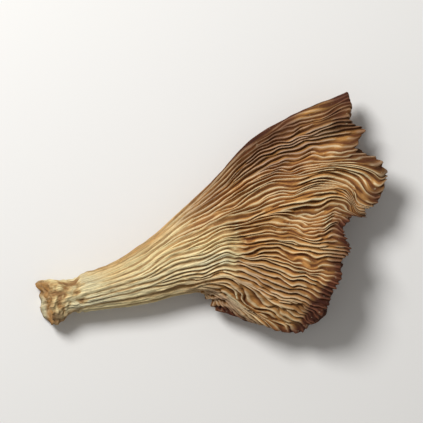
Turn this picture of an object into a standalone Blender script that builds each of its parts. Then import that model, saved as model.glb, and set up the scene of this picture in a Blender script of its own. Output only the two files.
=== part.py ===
"""A dried chanterelle, lying on its side as it would on a table.

It is one fruit body. The stem's flesh opens without a break into a funnel-shaped cap, which has sunk in
drying into an upper and a lower leaf with a gap between them. Forked ridges run down its outside from the
ruffled margin to the stem, and its inside is smooth.

Two numbers give a place on the body. along is 0 at the cut foot and 1 at the margin. around is 0 on the
front fold, 0.25 on top, 0.5 on the back fold and 0.75 underneath.
Lengths are in millimetres until the mesh is made. +X runs from the foot to the cap, and +Z is up.
"""

import bmesh
import bpy
import numpy as np

MM = 0.001
TAU = 2 * np.pi

# Points of the smooth form: x, y, height of the middle, and half the thickness there.
# A row is one station from the foot to the margin, and runs from the front fold to the back fold.
FORM = np.array(
    [
        [
            (-23.9, -16.5, 2.5, 2.7),
            (-24.4, -14.9, 2.5, 2.7),
            (-24.8, -13.4, 2.5, 2.7),
            (-25.1, -11.8, 2.5, 2.7),
            (-25.4, -10.2, 2.5, 2.7),
        ],
        [
            (-18.0, -14.6, 3.3, 2.3),
            (-17.8, -13.0, 3.4, 2.3),
            (-17.6, -11.5, 3.4, 2.3),
            (-17.5, -10.0, 3.4, 2.3),
            (-17.4, -8.6, 3.4, 2.3),
        ],
        [
            (-10.4, -13.5, 3.6, 2.5),
            (-10.3, -11.4, 3.8, 2.5),
            (-10.4, -9.2, 3.9, 2.6),
            (-10.6, -7.0, 4.0, 2.5),
            (-10.8, -4.9, 4.0, 2.5),
        ],
        [
            (-3.6, -12.0, 3.6, 2.9),
            (-1.8, -9.4, 4.2, 3.1),
            (-1.4, -5.6, 4.5, 3.2),
            (-1.6, -1.6, 4.6, 3.1),
            (-2.6, 2.2, 4.4, 2.9),
        ],
        [
            (-1.4, -12.3, 3.5, 3.3),
            (6.6, -12.4, 3.9, 3.8),
            (9.2, -4.4, 4.2, 4.2),
            (9.4, 3.2, 4.2, 4.2),
            (7.1, 11.8, 4.3, 3.6),
        ],
        [
            (0.6, -14.6, 3.6, 3.5),
            (12.8, -16.8, 4.0, 4.1),
            (19.2, -5.8, 4.5, 4.9),
            (20.6, 6.2, 4.3, 4.9),
            (19.4, 17.6, 4.6, 3.8),
        ],
    ]
)

# The middle of the form's box, which the object's origin stands below.
CENTRE = (-0.42, 0.01, 0.0)

# Half the distance between the folds at each station.
HALF_SPAN = [3.2, 3.1, 4.4, 7.8, 13.2, 17.0]

# The hollow of the funnel: where it starts, where it is fully open, and how thick the flesh is there.
HOLLOW_START = 0.46
HOLLOW_OPEN = 0.80
FLESH_AT_START = 2.0
FLESH_AT_MARGIN = 1.35

# Ridges: how many reach the margin and the stem, and how high they stand on each.
MARGIN_RIDGES = 64
STEM_RIDGES = 26
CAP_RIDGE_HEIGHT = 0.85
STEM_RIDGE_HEIGHT = 0.32
CLOSED_GAP = 0.12
# Where ridges bend towards the front as they near the margin: around, half width, and how far round.
BEND = (0.350, 0.040, 0.018)

# Waves that lift both leaves together: height, turns from fold to fold, turns along, phase, and start.
LIFTS = [
    (0.9, 0.55, 0.3, 0.4, 0.30),
    (0.6, 1.15, 1.0, 2.0, 0.50),
    (0.35, 2.3, 1.5, 4.0, 0.60),
]
# Waves of one leaf at a time, as shares of the half thickness: size, waves around, turns along, phase, and start.
SWELLS = [
    (0.10, 3, 0.8, 0.6, 0.30),
    (0.13, 7, 0.6, 2.1, 0.50),
    (0.12, 11, -0.7, 0.4, 0.60),
    (0.10, 17, 0.5, 1.7, 0.68),
    (0.06, 27, 0.9, 4.1, 0.76),
]
# Parts of the margin that curl in or out: around, share of the half thickness, and half width around.
CURLS = [
    (0.338, -0.60, 0.030),
    (0.060, -0.45, 0.035),
    (0.200, 0.22, 0.030),
    (0.430, -0.25, 0.020),
    (0.620, -0.30, 0.040),
    (0.800, 0.25, 0.040),
]
CURL_START = 0.82
# A crease across the top leaf where the stem opens: along, around, and their half widths.
CREASE = (0.687, 0.225, 0.020, 0.060)
CREASE_DEPTH = 0.20
# Places where the cap has twisted as it dried, seen from above: x, y, how far the twist reaches, and its degrees.
TWISTS = [
    (21.2, 1.6, 4.4, -54),
    (4.0, -12.8, 3.0, -8),
]

# Lobes and notches of the margin: around, reach past the guide line, and half width around.
LOBES = [
    (0.352, 3.7, 0.032),
    (0.318, 0.8, 0.014),
    (0.303, 1.6, 0.008),
    (0.388, -1.3, 0.013),
    (0.286, 0.9, 0.012),
    (0.412, 1.3, 0.008),
    (0.436, -0.6, 0.010),
    (0.490, 0.4, 0.020),
    (0.262, 0.8, 0.010),
    (0.232, -0.7, 0.012),
    (0.125, 0.8, 0.015),
    (0.575, -1.8, 0.012),
    (0.604, -1.8, 0.020),
    (0.640, 1.6, 0.050),
    (0.700, -1.6, 0.016),
    (0.830, 0.8, 0.040),
    (0.890, -0.8, 0.012),
]
TOOTH = 0.5
MARGIN_MM_PER_ALONG = 55.0

SEED = 7
OUTER_ROWS = 26
INNER_ROWS = 8
FOOT_ROWS = 2
COLUMNS_PER_RIDGE = 2


def smooth_step(low, high, value):
    """0 below low, 1 above high, and a smooth rise between them."""
    share = np.clip((value - low) / (high - low), 0, 1)
    return share * share * (3 - 2 * share)


def bump(centre, half_width, around):
    """A bell round the body: 1 at the centre, and down to a third at the half width."""
    away = np.abs((around - centre + 0.5) % 1 - 0.5)
    return np.exp(-((away / half_width) ** 2))


def folded(around):
    """1 on the two folds, and 0 away from them."""
    return bump(0.0, 0.045, around) + bump(0.5, 0.045, around)


def knot_weights(place, knots):
    """The weight of each knot of a Catmull-Rom curve at places from 0 to 1, with a knot added past each end."""
    cell = np.clip((place * (knots - 1)).astype(int), 0, knots - 2)
    f = place * (knots - 1) - cell
    shares = (
        (-f + 2 * f**2 - f**3) / 2,
        (2 - 5 * f**2 + 3 * f**3) / 2,
        (f + 4 * f**2 - 3 * f**3) / 2,
        (-(f**2) + f**3) / 2,
    )
    weights = np.zeros((*np.shape(place), knots + 2))
    for offset, share in enumerate(shares):
        np.put_along_axis(weights, (cell + offset)[..., None], share[..., None], -1)
    return weights


def straight_ends(net):
    """The net with one more row past each end, so that its curves go on in a straight line."""
    return np.concatenate([2 * net[:1] - net[1:2], net, 2 * net[-1:] - net[-2:-1]])


def lift(across, along):
    """How far both leaves rise together."""
    height = 0.0
    for size, turns_across, turns_along, phase, start in LIFTS:
        turned = turns_across * across + turns_along * along
        height = height + size * np.sin(TAU * turned + phase) * smooth_step(start, 1, along)
    return height


def swell(around, along):
    """How much thicker one leaf makes the body, as a share of the half thickness: waves, curls and the crease."""
    share = 1.0
    free = 1 - 0.7 * folded(around)
    for size, count, turns_along, phase, start in SWELLS:
        turned = count * around + turns_along * along
        share = share + free * size * np.sin(TAU * turned + phase) * smooth_step(start, 1, along)
    for centre, size, half_width in CURLS:
        share = share + size * bump(centre, half_width, around) * smooth_step(CURL_START, 1, along)
    at, centre, length, half_width = CREASE
    sunk = np.exp(-(((along - at) / length) ** 2)) * bump(centre, half_width, around)
    return share - CREASE_DEPTH * sunk


def twisted(x, y):
    """The place after each twist, a turn about its centre that fades away from there as a bell does."""
    for at_x, at_y, reach, degrees in TWISTS:
        ahead, aside = x - at_x, y - at_y
        turn = np.radians(degrees) * np.exp(-(ahead**2 + aside**2) / reach**2)
        x = at_x + ahead * np.cos(turn) - aside * np.sin(turn)
        y = at_y + ahead * np.sin(turn) + aside * np.cos(turn)
    return x, y


def smooth_form(around, along, depth=0.0, opening=1.0):
    """The body's surface without ridges, at a depth inside the outer skin. opening shrinks the section to its middle.
    The angle is eased by an arcsine so that places are evenly spaced round a section however flat it is."""
    flatness = 0.35 + 0.62 * smooth_step(0.2, 0.8, along)
    across = -np.arcsin(flatness * np.cos(TAU * around)) / np.arcsin(flatness)
    up = np.maximum(1 - across**2, 0) ** 0.45 * np.where(around % 1 < 0.5, 1, -1)
    span = np.interp(along, np.linspace(0, 1, len(HALF_SPAN)), HALF_SPAN)
    waist = 1 - 0.2 * np.exp(-(((along - 0.10) / 0.045) ** 2))
    inset = 1.5 * depth / span
    width = (1 - inset * np.abs(across) ** np.clip(0.8 / (inset + 1e-9) - 1, 0.1, 6)) * waist * opening
    net = straight_ends(straight_ends(FORM).transpose(1, 0, 2)).transpose(1, 0, 2)
    rows = knot_weights(along, FORM.shape[0])
    columns = knot_weights((1 + across * width) / 2, FORM.shape[1])
    x, y, middle, half = np.einsum("...i,ijk,...j->k...", rows, net, columns)
    x, y = twisted(x, y)
    half = half * swell(around, along) * np.abs(up)
    rise = np.where(depth > 0, np.maximum(half - depth, 0.35 * np.abs(up)), half) * opening
    return np.stack([x, y, middle + lift(across, along) * opening + rise * np.sign(up)], axis=-1)


def outward(around, along):
    """The smooth form's normal, from the steps to four places beside each place."""
    step = 0.002
    ahead = smooth_form(around, along + step) - smooth_form(around, along - step)
    aside = smooth_form(around + step, along) - smooth_form(around - step, along)
    normal = np.cross(ahead, aside)
    return normal / np.linalg.norm(normal, axis=-1, keepdims=True)


def margin_reach(around, relief):
    """How far the margin runs out past its guide line, with a small tooth at the end of each ridge."""
    reach = TOOTH * (relief - 0.5)
    for centre, size, half_width in LOBES:
        reach = reach + size * bump(centre, half_width, around)
    return reach * (1 - np.minimum(1, 1.3 * folded(around)))


def ridge_gaps(along):
    """The share of the way round between each ridge and the next, and how far that gap has opened, row by row.
    A ridge forks where the gap inside it opens."""
    chance = np.random.default_rng(SEED)
    ridge = np.arange(MARGIN_RIDGES)
    on_stem = (ridge + 1) * STEM_RIDGES // MARGIN_RIDGES > ridge * STEM_RIDGES // MARGIN_RIDGES
    fork = chance.uniform(0.36, 0.66, MARGIN_RIDGES)
    width = chance.uniform(0.72, 1.28, MARGIN_RIDGES)
    opened = np.where(on_stem, 1.0, smooth_step(fork, fork + 0.16, along[:, None]))
    gap = width * (CLOSED_GAP + (1 - CLOSED_GAP) * opened)
    return gap / gap.sum(axis=1, keepdims=True), opened


def ridge_wobble(around, along):
    """How far ridges stray sideways, as a share of the way round."""
    centre, half_width, bend = BEND
    return (
        0.0035 * np.sin(TAU * 6 * around + 17 * along)
        + 0.0022 * np.sin(TAU * 13 * around - 31 * along + 2)
        - bend * bump(centre, half_width, around) * smooth_step(0.84, 1, along)
    )


def ridge_columns(along, per_ridge):
    """For rows at these places along: around for each column, and the relief there, 1 on a crest and 0 in a gap.
    Each ridge takes a column on its crest and the rest in the gap after it, a sharp groove between round ridges."""
    gap, opened = ridge_gaps(along)
    crest = np.cumsum(gap, axis=1) - gap
    share = np.arange(per_ridge) / per_ridge
    around = crest[:, :, None] + gap[:, :, None] * share
    relief = 1 - opened[:, :, None] * (1 - np.abs(np.cos(np.pi * share)) ** 0.9)
    rows = len(along)
    around = around.reshape(rows, -1)
    return around + ridge_wobble(around, along[:, None]), relief.reshape(rows, -1)


def ridge_height(around, along):
    """How high ridges stand: nothing at the foot, low on the stem, full on the cap, lower at the margin and folds."""
    stem = STEM_RIDGE_HEIGHT * smooth_step(0.02, 0.14, along)
    cap = (CAP_RIDGE_HEIGHT - STEM_RIDGE_HEIGHT) * smooth_step(0.34, 0.62, along)
    calm = folded(around) * (0.6 + 0.4 * smooth_step(0.7, 0.9, along))
    return (stem + cap) * (1 - 0.45 * smooth_step(0.88, 1, along)) * (1 - calm)


def to_margin(around, along, relief):
    """along, stretched near the end so that 1 falls on the ragged margin."""
    return along + margin_reach(around, relief) / MARGIN_MM_PER_ALONG * smooth_step(0.7, 1, along)


def outside(around, along, relief):
    """The outer skin: the smooth form cut into by the gaps between ridges, and pressed on the floor."""
    place = to_margin(around, along, relief)
    sunk = ridge_height(around, along) * (1 - relief)
    points = smooth_form(around, place) - outward(around, place) * sunk[..., None]
    torn = 0.25 * np.sin(TAU * 3 * around + 1) + 0.15 * np.sin(TAU * 8 * around)
    cut = 0.36 * (points[..., 2] - FORM[0, 0, 2]) + torn
    points[..., 0] += cut * (1 - smooth_step(0, 0.1, along))
    points[..., 2] = np.maximum(points[..., 2], 0)
    return points


def inside(around, along, relief):
    """The funnel's inner skin, the flesh's thickness in from the outer one."""
    place = to_margin(around, along, relief)
    opened = np.clip((along - HOLLOW_START) / (HOLLOW_OPEN - HOLLOW_START), 0, 1)
    flesh = FLESH_AT_START + (FLESH_AT_MARGIN - FLESH_AT_START) * smooth_step(0.6, 1, along)
    points = smooth_form(around, place, flesh, np.sqrt(opened * (2 - opened)))
    points[..., 2] = np.maximum(points[..., 2], 0.6)
    return points


def body_rings(per_ridge, outer_rows, inner_rows):
    """Rings of points from the foot over the margin to the end of the hollow."""
    along = np.linspace(0, 1, outer_rows)
    around, relief = ridge_columns(along, per_ridge)
    along = np.broadcast_to(along[:, None], around.shape)
    outer = outside(around, along, relief)
    share = np.linspace(0, 1, FOOT_ROWS, endpoint=False)[:, None, None]
    centre = outer[0].mean(axis=0) + (0.3, 0, 0)
    foot = centre + (outer[0] - centre) * share
    inward = 1 - (1 - HOLLOW_START) * np.linspace(0, 1, inner_rows) ** 1.6
    around_in, relief_in = ridge_columns(inward, per_ridge)
    inner = inside(around_in, np.broadcast_to(inward[:, None], around_in.shape), relief_in)
    return np.concatenate([foot, outer, inner]) - CENTRE


def body_mesh(rings):
    """A closed mesh over the rings: a grid bent round so that its two sides meet. A ring with no width is a pole."""
    rows, columns = rings.shape[:2]
    mesh = bmesh.new()
    bmesh.ops.create_grid(mesh, x_segments=columns, y_segments=rows - 1, size=0.5)
    for vertex in mesh.verts:
        column = round((vertex.co.x + 0.5) * columns) % columns
        row = round((vertex.co.y + 0.5) * (rows - 1))
        vertex.co = rings[row, column] * MM
    bmesh.ops.remove_doubles(mesh, verts=mesh.verts, dist=1e-7)
    bmesh.ops.recalc_face_normals(mesh, faces=mesh.faces)
    return mesh


def dried_flesh():
    """The colour of the dried flesh, a matt tan."""
    material = bpy.data.materials.new("dried_flesh")
    material.use_nodes = True
    shader = material.node_tree.nodes["Principled BSDF"]
    shader.inputs["Base Color"].default_value = (0.46, 0.30, 0.15, 1)
    shader.inputs["Roughness"].default_value = 0.85
    shader.inputs["Metallic"].default_value = 0.0
    return material


def main():
    for old in list(bpy.data.objects):
        bpy.data.objects.remove(old)
    collection = bpy.data.collections.new("chanterelle")
    bpy.context.scene.collection.children.link(collection)
    mesh = body_mesh(body_rings(COLUMNS_PER_RIDGE, OUTER_ROWS, INNER_ROWS))
    data = bpy.data.meshes.new("chanterelle")
    mesh.to_mesh(data)
    mesh.free()
    data.materials.append(dried_flesh())
    fruit_body = bpy.data.objects.new("chanterelle", data)
    collection.objects.link(fruit_body)


if __name__ == "__main__":
    main()
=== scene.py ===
"""A dried chanterelle on a pale floor, seen from straight above.

The fruit body is one closed skin, worked out on a fine grid. Two numbers give a place on it. along is 0 at
the torn foot and 1 at the cap's margin. around is 0 on the front fold, 0.25 on top, 0.5 on the back fold
and 0.75 underneath. Lengths are in millimetres until the mesh is made. +X runs from the foot to the cap,
and +Z is up.
"""

import bpy
import numpy as np
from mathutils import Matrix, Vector


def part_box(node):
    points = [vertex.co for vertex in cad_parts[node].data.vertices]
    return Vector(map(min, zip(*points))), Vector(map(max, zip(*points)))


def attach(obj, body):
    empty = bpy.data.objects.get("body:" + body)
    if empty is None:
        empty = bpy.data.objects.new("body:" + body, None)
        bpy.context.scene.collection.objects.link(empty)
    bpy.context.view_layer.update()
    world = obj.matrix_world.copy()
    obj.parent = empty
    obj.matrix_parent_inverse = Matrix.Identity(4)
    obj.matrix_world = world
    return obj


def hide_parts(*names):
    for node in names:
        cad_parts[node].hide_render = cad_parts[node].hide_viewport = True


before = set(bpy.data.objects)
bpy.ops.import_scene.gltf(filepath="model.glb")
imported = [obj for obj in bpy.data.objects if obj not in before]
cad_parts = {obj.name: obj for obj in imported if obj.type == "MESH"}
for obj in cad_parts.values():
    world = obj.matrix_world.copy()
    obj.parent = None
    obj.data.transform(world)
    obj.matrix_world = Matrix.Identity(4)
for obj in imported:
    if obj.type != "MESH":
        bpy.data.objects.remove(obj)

bl_info = {
    "name": "Dried Chanterelle",
    "version": (1, 0, 0),
    "blender": (4, 5, 0),
    "location": "3D View > Sidebar > Chanterelle",
    "description": "Builds a dried chanterelle with ridged flesh, and a studio stage to look at it on",
    "category": "Add Mesh",
}

MM = 0.001
TAU = 2 * np.pi
NODE = "chanterelle"

# Points of the smooth form: x, y, height of the middle, and half the thickness there.
# A row is one station from the foot to the margin, and runs from the front fold to the back fold.
FORM = np.array(
    [
        [
            (-23.9, -16.5, 2.5, 2.7),
            (-24.4, -14.9, 2.5, 2.7),
            (-24.8, -13.4, 2.5, 2.7),
            (-25.1, -11.8, 2.5, 2.7),
            (-25.4, -10.2, 2.5, 2.7),
        ],
        [
            (-18.0, -14.6, 3.3, 2.3),
            (-17.8, -13.0, 3.4, 2.3),
            (-17.6, -11.5, 3.4, 2.3),
            (-17.5, -10.0, 3.4, 2.3),
            (-17.4, -8.6, 3.4, 2.3),
        ],
        [
            (-10.4, -13.5, 3.6, 2.5),
            (-10.3, -11.4, 3.8, 2.5),
            (-10.4, -9.2, 3.9, 2.6),
            (-10.6, -7.0, 4.0, 2.5),
            (-10.8, -4.9, 4.0, 2.5),
        ],
        [
            (-3.6, -12.0, 3.6, 2.9),
            (-1.8, -9.4, 4.2, 3.1),
            (-1.4, -5.6, 4.5, 3.2),
            (-1.6, -1.6, 4.6, 3.1),
            (-2.6, 2.2, 4.4, 2.9),
        ],
        [
            (-1.4, -12.3, 3.5, 3.3),
            (6.6, -12.4, 3.9, 3.8),
            (9.2, -4.4, 4.2, 4.2),
            (9.4, 3.2, 4.2, 4.2),
            (7.1, 11.8, 4.3, 3.6),
        ],
        [
            (0.6, -14.6, 3.6, 3.5),
            (12.8, -16.8, 4.0, 4.1),
            (19.2, -5.8, 4.5, 4.9),
            (20.6, 6.2, 4.3, 4.9),
            (19.4, 17.6, 4.6, 3.8),
        ],
    ]
)

# The middle of the form's box, which the object's origin stands below.
CENTRE = (-0.42, 0.01, 0.0)

# Half the distance between the folds at each station.
HALF_SPAN = [3.2, 3.1, 4.4, 7.8, 13.2, 17.0]

# Where the stem narrows above its foot: along, half length, and the share of the width.
WAIST = (0.10, 0.045, 0.2)
# How far the foot's rim leans to the cap for each millimetre up, and how far its middle is sunk in.
FOOT_LEAN = 0.36
FOOT_HOLLOW = 0.3

# The hollow of the funnel: where it starts, where it is fully open, how thick the flesh is at its start,
# the least half height that it has, and how far its skin stays above the floor.
HOLLOW_START = 0.46
HOLLOW_OPEN = 0.80
FLESH_AT_START = 2.0
HOLLOW_LEAST = 0.35
HOLLOW_FLOOR = 0.45

# Ridges: how many reach the margin, how many of those are on the top leaf, how many reach the stem, and
# the share of a full gap that an unopened one takes.
MARGIN_RIDGES = 108
TOP_RIDGES = 76
STEM_RIDGES = 16
CLOSED_GAP = 0.05
# Where ridges bend towards the front as they near the margin: around, half width, and how far round.
BEND = (0.350, 0.040, 0.018)

# Waves that lift both leaves together: height, turns from fold to fold, turns along, phase, and start.
LIFTS = [
    (0.9, 0.55, 0.3, 0.4, 0.30),
    (0.6, 1.15, 1.0, 2.0, 0.50),
    (0.35, 2.3, 1.5, 4.0, 0.60),
]
# Waves of one leaf at a time, as shares of the half thickness: size, waves around, turns along, phase,
# and start.
SWELLS = [
    (0.10, 3, 0.8, 0.6, 0.30),
    (0.13, 7, 0.6, 2.1, 0.50),
    (0.12, 11, -0.7, 0.4, 0.60),
    (0.10, 17, 0.5, 1.7, 0.68),
    (0.06, 27, 0.9, 4.1, 0.76),
]
# Parts of the margin that curl in or out: around, share of the half thickness, and half width around.
CURLS = [
    (0.338, -0.60, 0.030),
    (0.060, -0.45, 0.035),
    (0.200, 0.22, 0.030),
    (0.430, -0.25, 0.020),
    (0.620, -0.30, 0.040),
    (0.800, 0.25, 0.040),
]
CURL_START = 0.82
# How high the frill at the margin stands, and how far its rounded edge bulges.
FRILL = 0.75
EDGE_BULGE = 0.3
# A crease across the top leaf where the stem opens: along, around, and their half widths.
CREASE = (0.687, 0.225, 0.020, 0.060)
CREASE_DEPTH = 0.20
# Where the stem's ridges end abruptly on the top leaf: around, and half width. The cap's ridges start
# beside them, shifted by a share of the way round, below a step that fades in the given length along.
BORDER = (0.238, 0.064)
BORDER_SHIFT = 0.0045
BORDER_STEP = 0.55
BORDER_FADE = 0.05
# Where the front of the cap hangs over in broad folds: around, and half width.
FLAP = (0.075, 0.045)
# Places where the cap has twisted as it dried, seen from above: x, y, how far the twist reaches, and its
# degrees.
TWISTS = [
    (21.2, 1.6, 4.4, -54),
    (4.0, -12.8, 3.0, -8),
]

# Lobes and notches of the margin: around, reach past the guide line, and half width around.
LOBES = [
    (0.352, 3.7, 0.032),
    (0.318, 0.8, 0.014),
    (0.303, 1.6, 0.006),
    (0.388, -1.3, 0.013),
    (0.286, 0.9, 0.012),
    (0.412, 1.3, 0.008),
    (0.436, -0.6, 0.010),
    (0.490, 0.4, 0.020),
    (0.262, 0.8, 0.010),
    (0.232, -0.7, 0.012),
    (0.125, 0.8, 0.015),
    (0.575, -1.8, 0.012),
    (0.604, -1.8, 0.020),
    (0.640, 1.6, 0.050),
    (0.700, -1.6, 0.016),
    (0.830, 0.8, 0.040),
    (0.890, -0.8, 0.012),
]
# How many millimetres 1 along stands for, about the body's length.
MM_PER_ALONG = 55.0
# The radius of the cylinder on which the fibres' pattern is drawn.
FIBRE_RADIUS = 11.0

# The seed of where ridges fork and how wide they are.
SEED = 7
# Where a ridge's columns stand in the gap after it: closest at its crest and at the next one's steep front.
COLUMN_SHARES = (0.0, 0.20, 0.45, 0.70, 0.86)
OUTER_ROWS = 137
# Rows stand closer at the foot and on the cap: shares of the rows, and the places along reached by then.
ROW_STEPS = (0.0, 0.14, 0.38, 1.0)
ROW_PLACES = (0.0, 0.095, 0.385, 1.0)
LIP_ROWS = 4
INNER_ROWS = 34
FOOT_ROWS = 8

# Soft patches of colour on the flesh: x, y, half lengths along and across, turn in degrees, and strength.
BROWNED_AND_SHADOWED = [
    # Along the upper edges, the first two patches on the cap and the one at x -11.2 on the stem are partly
    # browning and partly painted shadow.
    (13.0, 15.0, 9.5, 2.3, 27, 1.5),
    (2.6, 8.4, 7.0, 1.9, 44, 1.3),
    (14.6, -14.4, 3.6, 3.0, 20, 1.3),
    (17.6, -8.8, 1.6, 5.0, 0, 0.5),
    (19.6, -2.4, 0.8, 1.2, 0, 0.6),
    (19.0, -9.0, 2.2, 5.5, 0, 0.9),
    (1.6, -13.6, 3.6, 1.6, -25, 0.7),
    (-22.6, -15.6, 2.6, 0.9, 15, 0.9),
    (24.4, 1.6, 0.9, 1.6, 30, 0.8),
    (14.3, 14.6, 2.4, 0.5, 25, -1.4),
    (-11.2, -4.6, 4.6, 0.8, 31, 0.5),
    (9.0, 9.4, 8.0, 2.6, 30, 0.2),
    (13.0, -10.5, 5.0, 2.5, -10, 0.2),
    (-25.4, -10.6, 0.9, 0.8, 0, 0.6),
]
MAUVE = [
    (-4.5, -0.6, 7.0, 1.8, 35, 0.9),
    (10.0, 8.6, 9.0, 4.4, 28, 0.9),
    (2.6, -13.8, 3.6, 1.2, -35, 0.7),
    (17.0, -2.6, 3.2, 3.4, 0, 0.5),
    (10.0, -11.0, 6.0, 2.6, -20, 0.5),
]
OCHRE_AND_REFLECTED_LIGHT = [
    (7.4, -1.4, 3.8, 2.2, 0, 0.9),
    # Along the upper edges, the strong strip at x 14.5 on the cap and the two at x -10.0 and -14.6 on the
    # stem are partly orange flesh and partly painted shade and reflected light.
    (14.5, 14.7, 2.8, 0.7, 25, 2.0),
    (13.4, 1.6, 3.0, 1.2, 10, 0.6),
    (20.6, 10.6, 1.6, 1.2, 0, 1.0),
    (-10.0, -4.2, 4.2, 1.2, 33, 1.8),
    (-14.6, -7.1, 3.0, 1.1, 27, 1.6),
    (-2.0, 2.4, 2.6, 0.8, 40, 0.6),
    (10.6, -5.6, 4.0, 1.4, -10, 0.6),
]
PALE = [
    (-7.0, -9.4, 9.0, 1.7, 13, 0.7),
    (0.6, -6.8, 3.0, 1.8, 5, 0.9),
    (3.4, -12.6, 1.9, 0.7, -40, 0.8),
    (15.8, 1.9, 0.6, 0.5, 30, 1.4),
    (16.8, -1.5, 0.5, 0.9, 20, 1.2),
    (19.5, -0.3, 0.4, 1.2, 10, 1.1),
    (3.7, -2.3, 0.35, 1.1, 0, 1.2),
    (21.0, 5.6, 3.0, 2.6, -40, 0.5),
    (11.5, 0.6, 6.5, 3.6, 15, 0.2),
    (-17.6, -13.2, 4.4, 0.9, 10, 1.1),
    (-18.6, -10.4, 2.2, 1.4, 0, 0.8),
    (-24.7, -14.6, 0.4, 1.8, 8, 1.3),
]

# The stage, in lengths of the mushroom: half the floor's side, the main light's width, and how far off it
# stands in its direction. Then the floor's roughness and the colour of the light from all round.
FLOOR_REACH = 12
KEY_WIDTH = 2.2
KEY_AWAY = 4.6
KEY_DIRECTION = (-0.48, 0.56, 0.94)
FLOOR_ROUGHNESS = 0.9
SKY = (1.0, 0.98, 0.95)


def smooth_step(low, high, value):
    """0 below low, 1 above high, and a smooth rise between them."""
    share = np.clip((value - low) / (high - low), 0, 1)
    return share * share * (3 - 2 * share)


def bump(centre, half_width, around):
    """A bell round the body: 1 at the centre, and down to a third at the half width."""
    away = np.abs((around - centre + 0.5) % 1 - 0.5)
    return np.exp(-((away / half_width) ** 2))


def folded(around):
    """1 on the two folds, and 0 away from them."""
    return bump(0.0, 0.045, around) + bump(0.5, 0.045, around)


def spline_weights(f):
    """The shares of four neighbours in a uniform cubic B-spline, f of the way between the middle two."""
    return (
        (1 - f) ** 3 / 6,
        (3 * f**3 - 6 * f**2 + 4) / 6,
        (-3 * f**3 + 3 * f**2 + 3 * f + 1) / 6,
        f**3 / 6,
    )


def noise(around, along, cells_around, cells_along, seed):
    """Smooth noise, mostly from -1 to 1, that closes round the body: random values on a lattice of cells,
    blended by cubic B-splines both ways. The blend flattens the values, so they start from a wider range.
    The lattice covers places along from -0.1 to 1.15."""
    rows = int(1.3 * cells_along) + 5
    lattice = np.random.default_rng(seed).uniform(-1.7, 1.7, (cells_around, rows))
    u = (around % 1) * cells_around
    v = np.clip(along + 0.1, 0, 1.25) * cells_along
    cell_u = np.floor(u).astype(int)
    cell_v = np.floor(v).astype(int)
    total = 0.0
    for i, share_u in enumerate(spline_weights(u - cell_u)):
        column = (cell_u + i) % cells_around
        for j, share_v in enumerate(spline_weights(v - cell_v)):
            total = total + share_u * share_v * lattice[column, cell_v + j]
    return total


def knot_weights(place, knots):
    """Each knot's weight in a Catmull-Rom curve at places from 0 to 1, with a knot added past each end."""
    cell = np.clip((place * (knots - 1)).astype(int), 0, knots - 2)
    f = place * (knots - 1) - cell
    shares = (
        (-f + 2 * f**2 - f**3) / 2,
        (2 - 5 * f**2 + 3 * f**3) / 2,
        (f + 4 * f**2 - 3 * f**3) / 2,
        (-(f**2) + f**3) / 2,
    )
    weights = np.zeros((*np.shape(place), knots + 2))
    for offset, share in enumerate(shares):
        np.put_along_axis(weights, (cell + offset)[..., None], share[..., None], -1)
    return weights


def straight_ends(net):
    """The net with one more row past each end, so that its curves go on in a straight line."""
    return np.concatenate([2 * net[:1] - net[1:2], net, 2 * net[-1:] - net[-2:-1]])


def lift(across, along):
    """How far both leaves rise together."""
    height = 0.0
    for size, turns_across, turns_along, phase, start in LIFTS:
        turned = turns_across * across + turns_along * along
        height = height + size * np.sin(TAU * turned + phase) * smooth_step(start, 1, along)
    return height


def ruffle(around, along):
    """How far the margin's frill stands up or down: noise that grows in the last millimetres."""
    frill = noise(around, along, 26, 9, 31) + 0.5 * noise(around, along, 55, 16, 32)
    return FRILL * frill * smooth_step(0.86, 1.02, along) * (1 - 0.6 * folded(around))


def swell(around, along):
    """How thick one leaf makes the body, as a share of the half thickness: waves, curls and the crease."""
    share = 1.0
    free = 1 - 0.7 * folded(around)
    for size, count, turns_along, phase, start in SWELLS:
        turned = count * around + turns_along * along
        share = share + free * size * np.sin(TAU * turned + phase) * smooth_step(start, 1, along)
    for centre, size, half_width in CURLS:
        share = share + size * bump(centre, half_width, around) * smooth_step(CURL_START, 1, along)
    at, centre, length, half_width = CREASE
    sunk = np.exp(-(((along - at) / length) ** 2)) * bump(centre, half_width, around)
    return share - CREASE_DEPTH * sunk


def twisted(x, y):
    """The place after each twist, a turn about its centre that fades away from there as a bell does."""
    for at_x, at_y, reach, degrees in TWISTS:
        ahead, aside = x - at_x, y - at_y
        turn = np.radians(degrees) * np.exp(-(ahead**2 + aside**2) / reach**2)
        x = at_x + ahead * np.cos(turn) - aside * np.sin(turn)
        y = at_y + ahead * np.sin(turn) + aside * np.cos(turn)
    return x, y


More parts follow.
